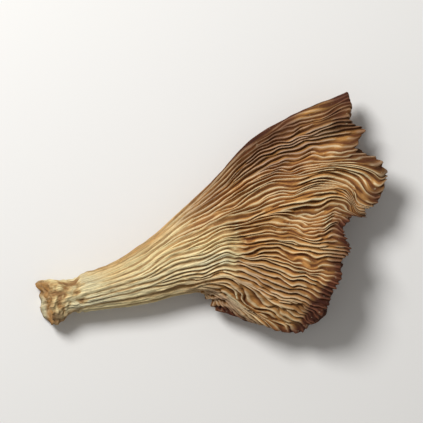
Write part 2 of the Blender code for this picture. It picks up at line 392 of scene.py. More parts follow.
def smooth_form(around, along, depth=0.0, opening=1.0):
    """The body's surface without ridges, at a depth inside the outer skin. opening shrinks the section to
    its middle. across runs from fold to fold, from -1 to 1, and is eased by an arcsine so that places are
    evenly spaced round a section however flat it is. Each leaf's height is a power of 1 - across squared,
    times the half thickness. The net's curves give where that section lies. At a depth the section is
    also drawn in from its folds."""
    flatness = 0.35 + 0.62 * smooth_step(0.2, 0.8, along)
    across = -np.arcsin(flatness * np.cos(TAU * around)) / np.arcsin(flatness)
    up = np.maximum(1 - across**2, 0) ** 0.45 * np.where(around % 1 < 0.5, 1, -1)
    span = np.interp(along, np.linspace(0, 1, len(HALF_SPAN)), HALF_SPAN)
    at, length, narrowed = WAIST
    waist = 1 - narrowed * np.exp(-(((along - at) / length) ** 2))
    inset = 1.5 * depth / span
    width = (1 - inset * np.abs(across) ** np.clip(0.8 / (inset + 1e-9) - 1, 0.1, 6)) * waist * opening
    net = straight_ends(straight_ends(FORM).transpose(1, 0, 2)).transpose(1, 0, 2)
    rows = knot_weights(along, FORM.shape[0])
    columns = knot_weights((1 + across * width) / 2, FORM.shape[1])
    x, y, middle, half = np.einsum("...i,ijk,...j->k...", rows, net, columns)
    x, y = twisted(x, y)
    half = half * swell(around, along) * np.abs(up)
    rise = np.where(depth > 0, np.maximum(half - depth, HOLLOW_LEAST * np.abs(up)), half) * opening
    z = middle + lift(across, along) * opening + rise * np.sign(up) + ruffle(around, along)
    return np.stack([x, y, z], axis=-1)


def outward(around, along):
    """The smooth form's normal, from the steps to four places beside each place."""
    step = 0.002
    ahead = smooth_form(around, along + step) - smooth_form(around, along - step)
    aside = smooth_form(around + step, along) - smooth_form(around - step, along)
    normal = np.cross(ahead, aside)
    return normal / np.linalg.norm(normal, axis=-1, keepdims=True)


def margin_reach(around, relief, tooth):
    """How far the margin runs out past its guide line: a torn tooth at the end of each ridge, two sizes of
    ragged noise, and the lobes and notches. At the folds it keeps to the line."""
    end = np.ones_like(around)
    torn = 1 + 0.8 * noise(around, end, 80, 4, 41)
    reach = tooth * (np.sqrt(np.clip(relief, 0, 1)) - 0.5) * torn
    reach = reach + 0.35 * noise(around, end, 150, 4, 42) + 0.7 * noise(around, end, 60, 4, 43)
    for centre, size, half_width in LOBES:
        reach = reach + size * bump(centre, half_width, around)
    return reach * (1 - np.minimum(1, 1.3 * folded(around)))


def spread_evenly(places, along):
    """Places round the body, moved so that equal steps are equally long on the smooth form, where a step up
    or down counts for less. Each leaf keeps its half, and every row of places has its own place along. All
    rows are looked up in one table that runs through them, with the rows kept apart by more than their
    reach from -1 to 2."""
    cells = 200
    ring = np.linspace(0, 1, cells + 1) + np.zeros((len(along), 1))
    step = np.diff(smooth_form(ring, along[:, None] + 0 * ring), axis=1) * (1, 1, 0.6)
    length = np.linalg.norm(step, axis=-1)
    for leaf in (slice(0, cells // 2), slice(cells // 2, cells)):
        length[:, leaf] *= 0.5 / length[:, leaf].sum(axis=1, keepdims=True)
    passed = np.cumsum(np.concatenate([length] * 3, axis=1), axis=1) - 1
    ends = np.linspace(-1, 2, 3 * cells + 1)[1:] + np.zeros_like(passed)
    row = 4.0 * np.arange(len(along))[:, None]
    return np.interp(places + row, (passed + row).ravel(), ends.ravel())


def ridge_lines(along):
    """Row by row, the place round the body of each ridge's crest, the gap from there to the next crest, and
    how far that gap has opened. A ridge forks where the gap inside it opens. Each crest also strays by
    itself, so neighbours draw together and part again. Gaps are wider where the cap hangs over."""
    chance = np.random.default_rng(SEED)
    ridge = np.arange(MARGIN_RIDGES)
    on_stem = (ridge + 1) * STEM_RIDGES // MARGIN_RIDGES > ridge * STEM_RIDGES // MARGIN_RIDGES
    fork = 0.34 + 0.52 * chance.uniform(0, 1, MARGIN_RIDGES) ** 0.6
    width = chance.uniform(0.75, 1.25, MARGIN_RIDGES)
    ridge_around = np.interp(ridge, (0, TOP_RIDGES, MARGIN_RIDGES), (0, 0.5, 1))
    width = width * (1 + 0.7 * bump(*FLAP, ridge_around))
    opened = np.where(on_stem, 1.0, smooth_step(fork, fork + 0.11, along[:, None]))
    gap = width * (CLOSED_GAP + (1 - CLOSED_GAP) * opened)
    for leaf in (ridge < TOP_RIDGES, ridge >= TOP_RIDGES):
        gap[:, leaf] *= 0.5 / gap[:, leaf].sum(axis=1, keepdims=True)
    place = ridge / MARGIN_RIDGES + np.zeros_like(gap)
    row = along[:, None] + np.zeros_like(gap)
    stray = 0.5 * noise(place, row, MARGIN_RIDGES, 24, 65)
    stray = stray + 0.2 * noise(place, row, 3 * MARGIN_RIDGES, 50, 66)
    stray = stray * smooth_step(0.2, 0.6, row)
    crest = np.cumsum(gap, axis=1) - gap + stray * np.minimum(gap, np.roll(gap, 1, axis=1))
    crest = spread_evenly(crest, along)
    gap = np.diff(crest, axis=1, append=crest[:, :1] + 1)
    return crest, gap, opened


def ridge_wobble(around, along):
    """How far ridges stray sideways, as a share of the way round: two long waves, the bend at the lobe, the
    shift at the ragged border, and a crimp of a few millimetres that grows on the cap."""
    centre, half_width, bend = BEND
    crimp = (
        0.0024 * noise(around, along, 22, 14, 51)
        + 0.0026 * noise(around, along, 44, 30, 52)
        + 0.0026 * noise(around, along, 84, 64, 53)
    )
    return (
        0.0016 * np.sin(TAU * 6 * around + 17 * along)
        + 0.0010 * np.sin(TAU * 13 * around - 31 * along + 2)
        - bend * bump(centre, half_width, around) * smooth_step(0.84, 1, along)
        + BORDER_SHIFT * bump(*BORDER, around) * smooth_step(-0.004, 0.006, past_border(around, along))
        + crimp * smooth_step(0.1, 0.6, along) * (1 - 0.7 * bump(0.0, 0.08, around))
    )


def past_border(around, along):
    """How far a place lies past the ragged line where the stem's ridges end on the top leaf."""
    return along - CREASE[0] - 0.022 * noise(around, along, 90, 6, 106)


def on_cap(around, along):
    """0 on the stem and 1 on the cap: gradual in most places, and abrupt at the ragged line on top."""
    gradual = smooth_step(0.36, 0.71, along + 0.06 * noise(around, along, 50, 16, 60))
    abrupt = smooth_step(-0.005, 0.009, past_border(around, along))
    return gradual + (abrupt - gradual) * np.clip(1.25 * bump(*BORDER, around), 0, 1)


def ridge_columns(along):
    """For rows at these places along: around for each column, the relief there, 1 on a crest and 0 in a
    gap, and how much painted shade it gets in the crevices.

    A ridge of the stem is broad, with a narrow groove beside it. One of the cap is a blade that leans to
    the front: its back falls away slowly into the gap, and its front drops steeply to the bottom of the
    gap.
    Veins cross some gaps, a low ridgelet runs down the middle of others, and crests dip here and there.
    Painted shade, partly the flesh's own dark brown, lies at the foot of each blade's front and down the
    middle of the stem's grooves, and a broken line of it follows the ragged line where the stem's ridges
    end."""
    crest, gap, opened = ridge_lines(along)
    share = np.array(COLUMN_SHARES)
    around = crest[:, :, None] + gap[:, :, None] * share
    place = along[:, None, None] + np.zeros_like(around)
    ridge = np.arange(MARGIN_RIDGES)[None, :] / MARGIN_RIDGES + np.zeros((len(along), 1))
    row = along[:, None] + np.zeros_like(ridge)
    opened = smooth_step(0, 0.5, opened)[:, :, None]
    broad = np.abs(np.cos(np.pi * share)) ** 0.6
    blade = np.exp(-((share / 0.40) ** 2.4)) + np.exp(-(((1 - share) / 0.13) ** 2))
    sharp = on_cap(around, place)
    profile = broad + (blade - broad) * sharp
    vein = 0.45 * smooth_step(0.65, 1.1, noise(ridge, row, 3 * MARGIN_RIDGES, 60, 61))[:, :, None]
    ridgelet = 0.25 * smooth_step(0.1, 0.6, noise(ridge, row, 3 * MARGIN_RIDGES, 9, 62))[:, :, None]
    filled = np.clip(vein + ridgelet * np.exp(-(((share - 0.52) / 0.10) ** 2)) * sharp, 0, 0.8)
    dip = 0.7 * smooth_step(0.35, 0.9, noise(ridge, row, 3 * MARGIN_RIDGES, 50, 63))[:, :, None]
    relief = 1 - opened * (1 - profile) * (1 - filled) - dip * profile * (0.4 + 0.6 * sharp)
    # Painted shade, partly the flesh's own dark brown: darkest at the foot of the next blade's steep front
    # on the cap, and down the middle of the gaps on the stem.
    crevice_shade = opened * sharp * np.exp(-(((share - 0.76) / 0.10) ** 2)) * (1 - vein)
    crevice_shade = crevice_shade + opened * (1 - sharp) * np.exp(-(((share - 0.5) / 0.14) ** 2))
    # Painted shade in a broken line just past the ragged border, below its step.
    torn = np.exp(-(((past_border(around, place) - 0.005) / 0.006) ** 2)) * bump(*BORDER, around)
    broken = smooth_step(-0.4, 0.4, noise(around, place, 50, 20, 67))
    crevice_shade = np.maximum(crevice_shade, 0.7 * torn * broken)
    flat = (len(along), -1)
    around, place, relief, crevice_shade = (field.reshape(flat) for field in (around, place, relief, crevice_shade))
    started = smooth_step(0.10, 0.36, place + 0.10 * noise(around, place, 30, 5, 64))
    relief = 1 - (1 - relief) * (0.25 + 0.75 * started)
    return around + ridge_wobble(around, place), relief, crevice_shade * started


def ridge_height(around, along, sizes):
    """How high ridges stand: nothing at the foot, low on the stem, full on the cap, lower at the margin and
    the folds, and higher where the front of the cap hangs over."""
    stem = sizes["stem_ridge"] * smooth_step(0.02, 0.14, along)
    cap = (sizes["cap_ridge"] - sizes["stem_ridge"]) * smooth_step(0.34, 0.62, along)
    calm = bump(0.0, 0.015, around) + bump(0.5, 0.035, around)
    bold = 0.5 * bump(*FLAP, around) * smooth_step(0.70, 0.84, along)
    return (stem + cap) * (1 - 0.45 * smooth_step(0.88, 1, along)) * (1 - calm) * (1 + bold)


def foot_lumps(around, along):
    """Lumps of the crumpled skin near the foot, mostly from -1 to 1, which end a few millimetres up."""
    lumps = 0.7 * noise(around, along, 22, 44, 75) + 0.75 * noise(around, along, 44, 90, 77)
    return lumps * (1 - smooth_step(0.12, 0.20, along + 0.03 * noise(around, along, 9, 6, 76)))


def foot_blotches(around, along):
    """How browned the skin near the foot is, from 0 to 1: all along the rim, and in blotches above it."""
    blotch = smooth_step(-0.1, 0.5, noise(around, along, 16, 26, 83))
    return (1 - smooth_step(0.10, 0.19, along)) * np.maximum(blotch, 1 - smooth_step(0.0, 0.03, along))


def wrinkles(around, along):
    """How far shrinkage lifts the outer skin: cross folds a few millimetres apart on the cap, fibres that
    run along the stem, lumps near the foot, a crumpled edge along the cap's front fold, and a fine crumple
    all over."""
    cap = smooth_step(0.3, 0.65, along)
    cross = 0.16 * noise(around, along, 44, 22, 71) * cap
    fibres = 0.10 * noise(around, along, 120, 7, 72) * (1 - 0.6 * cap)
    crumple = 0.07 * noise(around, along, 130, 70, 73)
    lumps = 0.12 * noise(around, along, 14, 18, 74) * (1 - cap) + 0.34 * foot_lumps(around, along)
    edge = (0.2 + 0.55 * noise(around, along, 10, 34, 78)) * bump(0.0, 0.035, around)
    edge = edge * smooth_step(0.70, 0.80, along)
    return (cross + fibres + crumple) * (1 - 0.6 * cap * bump(0.0, 0.09, around)) + lumps + edge


def to_margin(around, along, relief, tooth):
    """along, stretched near the end so that 1 falls on the ragged margin."""
    return along + margin_reach(around, relief, tooth) / MM_PER_ALONG * smooth_step(0.7, 1, along)


def torn_foot(around, along):
    """How far the foot's rim is torn and frayed back towards the cap: two waves round it, and noise."""
    torn = 0.25 * np.sin(TAU * 3 * around + 1) + 0.15 * np.sin(TAU * 8 * around)
    frayed = 0.28 * noise(around, along, 34, 20, 81)
    return (torn + frayed) * (1 - smooth_step(0, 0.1, along))


def outside(around, along, relief, sizes):
    """The outer skin: the smooth form, wrinkled, cut into by the gaps between ridges, and pressed flat on
    the floor. Past the border it steps down, and at the foot it leans and is torn."""
    place = to_margin(around, along, relief, sizes["tooth"])
    sunk = ridge_height(around, place, sizes) * (1 - relief) - sizes["wrinkle"] * wrinkles(around, along)
    past = past_border(around, along)
    step = BORDER_STEP * bump(*BORDER, around) * smooth_step(-0.006, 0.006, past)
    sunk = sunk + step * np.exp(-np.maximum(past, 0) / BORDER_FADE)
    points = smooth_form(around, place) - outward(around, place) * sunk[..., None]
    lean = FOOT_LEAN * (points[..., 2] - FORM[0, 0, 2]) * (1 - smooth_step(0, 0.1, along))
    points[..., 0] += lean + torn_foot(around, along)
    points[..., 2] = np.maximum(points[..., 2], 0.01 * (1 - relief))
    return points


def inside(around, along, relief, sizes):
    """The funnel's inner skin: the smooth form at the flesh's depth, with faint furrows behind the gaps."""
    place = to_margin(around, along, relief, sizes["tooth"])
    opened = np.clip((along - HOLLOW_START) / (HOLLOW_OPEN - HOLLOW_START), 0, 1)
    flesh = FLESH_AT_START + (sizes["flesh"] - FLESH_AT_START) * smooth_step(0.6, 1, along)
    furrow = 0.10 * (1 - relief) + 0.10 * noise(around, along, 60, 26, 91)
    furrow = furrow + 0.05 * noise(around, along, 130, 60, 92)
    depth = flesh + furrow * smooth_step(0.6, 0.8, along)
    points = smooth_form(around, place, depth, np.sqrt(opened * (2 - opened)))
    points[..., 2] = np.maximum(points[..., 2], HOLLOW_FLOOR)
    return points


def lip(outer, inner, rows, ahead):
    """The rounded margin between the two skins: half an ellipse from one to the other, which bulges the way
    that the skins point."""
    turn = np.linspace(0, np.pi, rows + 2)[1:-1, None, None]
    middle = (outer + inner) / 2
    return middle + (outer - inner) / 2 * np.cos(turn) + ahead * np.sin(turn)


def body_rings(sizes):
    """Rings of points from the middle of the foot over the margin to the end of the hollow, and for each
    point its places along and around, its relief, how much painted shade it gets in the crevices, and how
    far it is part of the foot."""
    along = np.interp(np.linspace(0, 1, OUTER_ROWS), ROW_STEPS, ROW_PLACES)
    around, relief, crevice_shade = ridge_columns(along)
    along = along[:, None] + np.zeros_like(around)
    outer = outside(around, along, relief, sizes)

    share = np.linspace(0, 1, FOOT_ROWS, endpoint=False)[:, None]
    centre = outer[0].mean(axis=0) + (FOOT_HOLLOW, 0, 0)
    foot = centre + (outer[0] - centre) * share[..., None]
    ring = around[0] + 0 * share
    from_centre = share + 0 * ring
    pits = 0.7 * noise(ring, from_centre, 14, 7, 82) + 0.6 * noise(ring, from_centre, 30, 13, 84)
    foot[..., 0] += pits * np.sin(np.pi * share)

    # The inner skin's rows stand closer near the margin.
    inward = 1 - (1 - HOLLOW_START) * np.linspace(0, 1, INNER_ROWS) ** 1.4
    around_in, relief_in, _ = ridge_columns(inward)
    inward = inward[:, None] + np.zeros_like(around_in)
    inner = inside(around_in, inward, relief_in, sizes)

    ahead = outer[-1] - outer[-3]
    ahead = ahead / np.linalg.norm(ahead, axis=-1, keepdims=True) * EDGE_BULGE
    rim = lip(outer[-1], inner[0], LIP_ROWS, ahead)

    def stacked(at_foot, on_outer, at_rim, on_inner):
        """One field's values in the order of the rings."""
        columns = around.shape[1]
        at_foot = at_foot + np.zeros((FOOT_ROWS, columns))
        at_rim = at_rim + np.zeros((LIP_ROWS, columns))
        return np.concatenate([at_foot, on_outer, at_rim, on_inner])

    points = np.concatenate([foot, outer, rim, inner]) - CENTRE
    points[..., 2] = np.maximum(points[..., 2], 0)
    lumps = foot_lumps(around, along)
    # Painted shade in the hollows between the foot's lumps.
    shade_between_lumps = 0.8 * smooth_step(0.3, 0.8, -lumps)
    return {
        "points": points,
        "along": stacked(0.0, along, 1.0, inward),
        "around": stacked(around[:1], around, around[-1:], around_in),
        # The foot's lumps raise the relief, so their tops take the paler colours and their hollows the
        # darker: partly painted light and shade.
        "relief": stacked(0.5, np.clip(relief + lumps - 0.2, 0, 1), relief[-1:], relief_in),
        "crevice_shade": stacked(0.0, crevice_shade + shade_between_lumps, crevice_shade[-1:], 0 * relief_in),
        "foot": stacked(1.0, foot_blotches(around, along), 0.0, 0 * relief_in),
    }


def patches(points, spots):
    """How strongly a place is stained by soft spots seen from above. Each is a bell of its own length,
    breadth and turn."""
    x, y = points[..., 0], points[..., 1]
    strength = 0.0
    for at_x, at_y, length, breadth, degrees, amount in spots:
        turn = np.radians(degrees)
        ahead = (x - at_x) * np.cos(turn) + (y - at_y) * np.sin(turn)
        aside = (y - at_y) * np.cos(turn) - (x - at_x) * np.sin(turn)
        strength = strength + amount * np.exp(-((ahead / length) ** 2) - (aside / breadth) ** 2)
    return strength


def stains(rings):
    """The skin's colour masks, each from 0 to 1: browned margin and edges, partly painted shadow along the
    upper edges, mauve and ochre flesh, the ochre partly painted shade and reflected light along those
    edges, the stem, and pale places. Noise breaks up the patches."""
    around, along, points = rings["around"], rings["along"], rings["points"]
    cloud = noise(around, along, 30, 20, 101)
    fine = noise(around, along, 90, 60, 102)
    edge = smooth_step(0.93, 1.0, along + 0.02 * cloud + 0.012 * fine)
    browned = patches(points, BROWNED_AND_SHADOWED) * (0.8 + 0.35 * cloud) + 0.75 * edge + 0.12 * fine
    mauve = patches(points, MAUVE) * (0.9 + 0.5 * cloud) + 0.25 * noise(around, along, 16, 12, 103)
    ochre = patches(points, OCHRE_AND_REFLECTED_LIGHT) * (0.9 + 0.4 * cloud) + 0.3 * noise(around, along, 24, 22, 104)
    pale = patches(points, PALE) + 0.2 * noise(around, along, 40, 30, 105)
    return {
        "browned": np.clip(browned, 0, 1),
        "mauve": np.clip(mauve, 0, 1),
        "ochre": np.clip(ochre, 0, 1),
        "stem": 1 - on_cap(around, along),
        "pale": np.clip(pale, 0, 1),
    }


def fibre_space(rings):
    """Coordinates that follow the flesh: a cylinder round which the body's sections are wrapped, so that a
    pattern drawn on it runs along the fibres and closes round the body. Its unit is about a millimetre."""
    angle = TAU * rings["around"]
    x, y = FIBRE_RADIUS * np.cos(angle), FIBRE_RADIUS * np.sin(angle)
    return np.stack([x, y, MM_PER_ALONG * rings["along"]], axis=-1)


def closed_mesh(name, points, fields, material_rows):
    """A closed mesh over rings of points: four-sided faces between each ring and the next, the first and
    last ring drawn in to one point each. Each field is stored at the points under its name. material_rows
    gives the number of the first ring of each material but the first."""
    rows, columns = points.shape[:2]
    index = np.arange((rows - 2) * columns).reshape(rows - 2, columns) + 1
    aside = np.roll(index, -1, axis=1)
    quads = np.stack([index[:-1], index[1:], aside[1:], aside[:-1]], axis=-1).reshape(-1, 4)
    last = index[-1, -1] + 1
    foot_fan = np.stack([np.zeros(columns, int), index[0], aside[0]], axis=-1)
    end_fan = np.stack([index[-1], np.full(columns, last), aside[-1]], axis=-1)
    corners = np.concatenate([foot_fan.ravel(), quads.ravel(), end_fan.ravel()])
    counts = np.concatenate([np.full(columns, 3), np.full(len(quads), 4), np.full(columns, 3)])
    starts = np.cumsum(counts) - counts

    def at_points(field):
        """A field's values point by point, with the mean of the first and of the last ring at the poles."""
        poles = [field[end].mean(axis=0, keepdims=True) for end in (0, -1)]
        return np.concatenate([poles[0], field[1:-1].reshape(-1, *field.shape[2:]), poles[1]])

    mesh = bpy.data.meshes.new(name)
    places = at_points(points) * MM
    mesh.vertices.add(len(places))
    mesh.loops.add(len(corners))
    mesh.polygons.add(len(counts))
    mesh.vertices.foreach_set("co", places.astype(np.float32).ravel())
    mesh.loops.foreach_set("vertex_index", corners.astype(np.int32))
    mesh.polygons.foreach_set("loop_start", starts.astype(np.int32))
    row_of_quad = np.repeat(np.arange(1, rows - 2), columns)
    row_of_face = np.concatenate([np.zeros(columns), row_of_quad, np.full(columns, rows)])
    slots = sum((row_of_face >= row).astype(np.int32) for row in material_rows)
    mesh.polygons.foreach_set("material_index", slots)
    mesh.update(calc_edges=True)
    mesh.shade_smooth()
    for key, field in fields.items():
        values = at_points(field)
        kind, slot = ("FLOAT_VECTOR", "vector") if values.ndim == 2 else ("FLOAT", "value")
        mesh.attributes.new(key, kind, "POINT").data.foreach_set(slot, values.astype(np.float32).ravel())
    return mesh


def node(tree, kind, inputs=(), **settings):
    """A shader node with its settings, and its inputs set to values or joined to other nodes' outputs."""
    made = tree.nodes.new(kind)
    for name, value in settings.items():
        setattr(made, name, value)
    for name, value in dict(inputs).items():
        if isinstance(value, bpy.types.NodeSocket):
            tree.links.new(value, made.inputs[name])
        else:
            made.inputs[name].default_value = value
    return made


def stored(tree, name, output="Fac"):
    """The value that the mesh stores under that name."""
    return node(tree, "ShaderNodeAttribute", attribute_name=name).outputs[output]


def blended(tree, share, low, high, blend_type="MIX"):
    """Two colours blended by a share."""
    mix = node(tree, "ShaderNodeMix", {0: share, 6: low, 7: high}, data_type="RGBA", blend_type=blend_type)
    return mix.outputs[2]


def between(tree, value, low, high, to_low=0.0, to_high=1.0):
    """A value spread from low and high to to_low and to_high, and held at its ends."""
    limits = {"Value": value, "From Min": low, "From Max": high, "To Min": to_low, "To Max": to_high}
    return node(tree, "ShaderNodeMapRange", limits, interpolation_type="SMOOTHSTEP").outputs["Result"]


def maths(tree, operation, first, second=0.0, third=0.0):
    """One step of arithmetic."""
    return node(tree, "ShaderNodeMath", {0: first, 1: second, 2: third}, operation=operation).outputs[0]


def new_group(name, inputs, outputs):
    """A shader node group with named inputs, each a number with its default, and named outputs."""
    tree = bpy.data.node_groups.new(name, "ShaderNodeTree")
    for socket, default in inputs.items():
        made = tree.interface.new_socket(socket, in_out="INPUT", socket_type="NodeSocketFloat")
        made.default_value = default
    for socket in outputs:
        tree.interface.new_socket(socket, in_out="OUTPUT", socket_type="NodeSocketFloat")
    return tree


def fibres_group():
    """Streaks that run along the fibres, as a mask: noise on fibre coordinates, drawn out lengthways."""
    tree = new_group("flesh_fibres", {"Fineness": 1.0, "Stretch": 0.12}, ["Mask"])
    entry = node(tree, "NodeGroupInput").outputs
    place = stored(tree, "fibre", "Vector")
    drawn = node(tree, "ShaderNodeCombineXYZ", {"X": 1.0, "Y": 1.0, "Z": entry["Stretch"]}).outputs[0]
    place = node(tree, "ShaderNodeVectorMath", {0: place, 1: drawn}, operation="MULTIPLY").outputs[0]
    inputs = {"Vector": place, "Scale": entry["Fineness"], "Detail": 5.0, "Roughness": 0.62}
    streaks = node(tree, "ShaderNodeTexNoise", inputs)
    node(tree, "NodeGroupOutput", {"Mask": streaks.outputs["Fac"]})
    return tree


def grain_group():
    """The fine grain of dried flesh: a net of small cells over cloudy noise, as a height and a mask."""
    tree = new_group("flesh_grain", {"Cells per Metre": 1500.0}, ["Height", "Specks"])
    entry = node(tree, "NodeGroupInput").outputs
    place = node(tree, "ShaderNodeTexCoord").outputs["Object"]
    inputs = {"Vector": place, "Scale": entry["Cells per Metre"]}
    cloud = node(tree, "ShaderNodeTexNoise", {**inputs, "Detail": 6.0, "Roughness": 0.65}).outputs["Fac"]
    cells = node(tree, "ShaderNodeTexVoronoi", inputs).outputs["Distance"]
    height = maths(tree, "MULTIPLY_ADD", cells, 0.35, cloud)
    specks = between(tree, cloud, 0.60, 0.72)
    node(tree, "NodeGroupOutput", {"Height": height, "Specks": specks})
    return tree


def new_material(name):
    """A material with nodes, its node tree, and its Principled shader."""
    material = bpy.data.materials.new(name)
    material.use_nodes = True
    tree = material.node_tree
    return material, tree, tree.nodes["Principled BSDF"]


def grouped(tree, group, inputs):
    """The outputs of a node group placed in a tree with its own values."""
    made = node(tree, "ShaderNodeGroup", node_tree=group)
    for name, value in inputs.items():
        made.inputs[name].default_value = value
    return made.outputs


def finish_flesh(tree, shader, colour, roughness, heights):
    """Joins the colour, the roughness and one bump after another, each a height and its depth in metres."""
    normal = None
    for height, depth in heights:
        inputs = {"Height": height, "Distance": depth, "Strength": 1.0}
        if normal is not None:
            inputs["Normal"] = normal
        normal = node(tree, "ShaderNodeBump", inputs).outputs["Normal"]
    tree.links.new(colour, shader.inputs["Base Color"])
    tree.links.new(roughness, shader.inputs["Roughness"])
    tree.links.new(normal, shader.inputs["Normal"])
    shader.inputs["Specular IOR Level"].default_value = 0.22


def ridged_flesh(colours, fibres, grain):
    """The outside: dark in the gaps, partly its own tone and partly painted shade, tan on the flanks and
    pale on the crests, cream on the stem, stained by the masks, with painted shade in the crevices and
    streaks and specks over all."""
    material, tree, shader = new_material("ridged_flesh")
    streak = grouped(tree, fibres, {"Fineness": 1.6, "Stretch": 0.10})["Mask"]
    fine_streak = grouped(tree, fibres, {"Fineness": 4.5, "Stretch": 0.07})["Mask"]
    grains = grouped(tree, grain, {"Cells per Metre": 1700.0})
    relief = stored(tree, "relief")
    relief = maths(tree, "ADD", relief, maths(tree, "MULTIPLY_ADD", fine_streak, 0.24, -0.12))
    stem = stored(tree, "stem")
    gap = blended(tree, stem, colours["groove"], colours["stem_groove"])
    # The ochre mask is partly painted shade and reflected light along the upper edges.
    flank = blended(tree, stored(tree, "ochre"), colours["flank"], colours["ochre"])
    flank = blended(tree, stem, flank, colours["stem_flank"])
    crest = blended(tree, stored(tree, "mauve"), colours["crest"], colours["mauve"])
    crest = blended(tree, stem, crest, colours["stem"])
    orange = maths(tree, "MULTIPLY", stored(tree, "ochre"), between(tree, stem, 0.0, 1.0, 0.5, 0.9))
    crest = blended(tree, orange, crest, colours["ochre"])
    crest = blended(tree, stored(tree, "pale"), crest, colours["pale"])
    # The gap colour, where the relief is lowest, is partly the flesh's own dark brown and partly painted
    # shade at the bottom of the gaps.
    colour = blended(tree, between(tree, relief, -0.08, 0.16), gap, flank)
    colour = blended(tree, between(tree, relief, 0.34, 0.76), colour, crest)
    raised = between(tree, grains["Height"], 0.45, 0.95)
    foot = blended(tree, raised, colours["foot"], colours["stem_flank"])
    colour = blended(tree, maths(tree, "MULTIPLY", stored(tree, "foot"), 0.8), colour, foot)
    # The browned places also darken towards the bottom of the gaps, partly painted shade.
    brown = blended(tree, between(tree, relief, 0.1, 1.0), colours["burnt"], colours["browned"])
    # The browned mask is partly painted shadow along the upper edges.
    colour = blended(tree, stored(tree, "browned"), colour, brown)
    # Painted shade: the crevices are pulled towards the gap colour.
    colour = blended(tree, maths(tree, "MULTIPLY", stored(tree, "crevice_shade"), 0.9), colour, gap)
    shade = between(tree, streak, 0.35, 0.65, 0.72, 1.12)
    shade = node(tree, "ShaderNodeCombineColor", {0: shade, 1: shade, 2: shade}).outputs[0]
    colour = blended(tree, 1.0, colour, shade, "MULTIPLY")
    colour = blended(tree, maths(tree, "MULTIPLY", grains["Specks"], 0.25), colour, colours["pale"])
    roughness = between(tree, relief, 0.0, 1.0, 0.85, 0.62)
    heights = [(streak, 0.00025), (fine_streak, 0.00015), (grains["Height"], 0.00008)]
    finish_flesh(tree, shader, colour, roughness, heights)
    return material


def funnel_skin(colours, fibres, grain):
    """The inside of the funnel: smooth skin, orange brown with faint streaks, browned at the margin."""
    material, tree, shader = new_material("funnel_skin")
    streak = grouped(tree, fibres, {"Fineness": 1.1, "Stretch": 0.16})["Mask"]
    grains = grouped(tree, grain, {"Cells per Metre": 1300.0})
    colour = blended(tree, between(tree, streak, 0.35, 0.65), colours["funnel_dark"], colours["funnel"])
    colour = blended(tree, maths(tree, "MULTIPLY", stored(tree, "pale"), 0.5), colour, colours["flank"])
    brown = blended(tree, between(tree, streak, 0.3, 0.7), colours["burnt"], colours["browned"])
    colour = blended(tree, stored(tree, "browned"), colour, brown)
    roughness = between(tree, streak, 0.3, 0.7, 0.55, 0.75)
    finish_flesh(tree, shader, colour, roughness, [(streak, 0.0002), (grains["Height"], 0.00007)])
    return material


def torn_flesh(colours, fibres, grain):
    """The torn foot: tan spongy flesh, brown in its pits, with pale specks."""
    material, tree, shader = new_material("torn_flesh")
    streak = grouped(tree, fibres, {"Fineness": 2.5, "Stretch": 0.5})["Mask"]
    grains = grouped(tree, grain, {"Cells per Metre": 1100.0})
    out_of_pits = between(tree, grains["Height"], 0.4, 0.8)
    colour = blended(tree, out_of_pits, colours["stem_groove"], colours["foot"])
    colour = blended(tree, maths(tree, "MULTIPLY", grains["Specks"], 0.6), colour, colours["pale"])
    colour = blended(tree, stored(tree, "pale"), colour, colours["pale"])
    roughness = between(tree, streak, 0.3, 0.7, 0.8, 0.95)
    finish_flesh(tree, shader, colour, roughness, [(streak, 0.0002), (grains["Height"], 0.00025)])
    return material


def colour_property(name, description, default):
    """A colour that the sidebar shows."""
    return bpy.props.FloatVectorProperty(
        name=name, description=description, default=default, subtype="COLOR", size=3, min=0.0, max=1.0
    )


def length_property(name, description, default):
    """A length that the sidebar shows, in metres."""
    return bpy.props.FloatProperty(
        name=name, description=description, default=default, subtype="DISTANCE", unit="LENGTH", min=0.0
    )


class ChanterelleSizes(bpy.types.PropertyGroup):
    """Sizes of the fruit body's finish. Its form is worked out from the values above."""

    cap_ridge: length_property("Cap Ridge Height", "How high ridges stand on the cap", 0.00075)
    stem_ridge: length_property("Stem Ridge Height", "How high ridges stand on the stem", 0.00032)
    tooth: length_property("Tooth Length", "How far a ridge's end stands out of the margin", 0.0005)
    flesh: length_property("Margin Thickness", "How thick the flesh is at the margin", 0.0008)
    wrinkle: bpy.props.FloatProperty(
        name="Wrinkles", description="How deep the skin's wrinkles are", default=1.0, min=0.0, max=3.0
    )


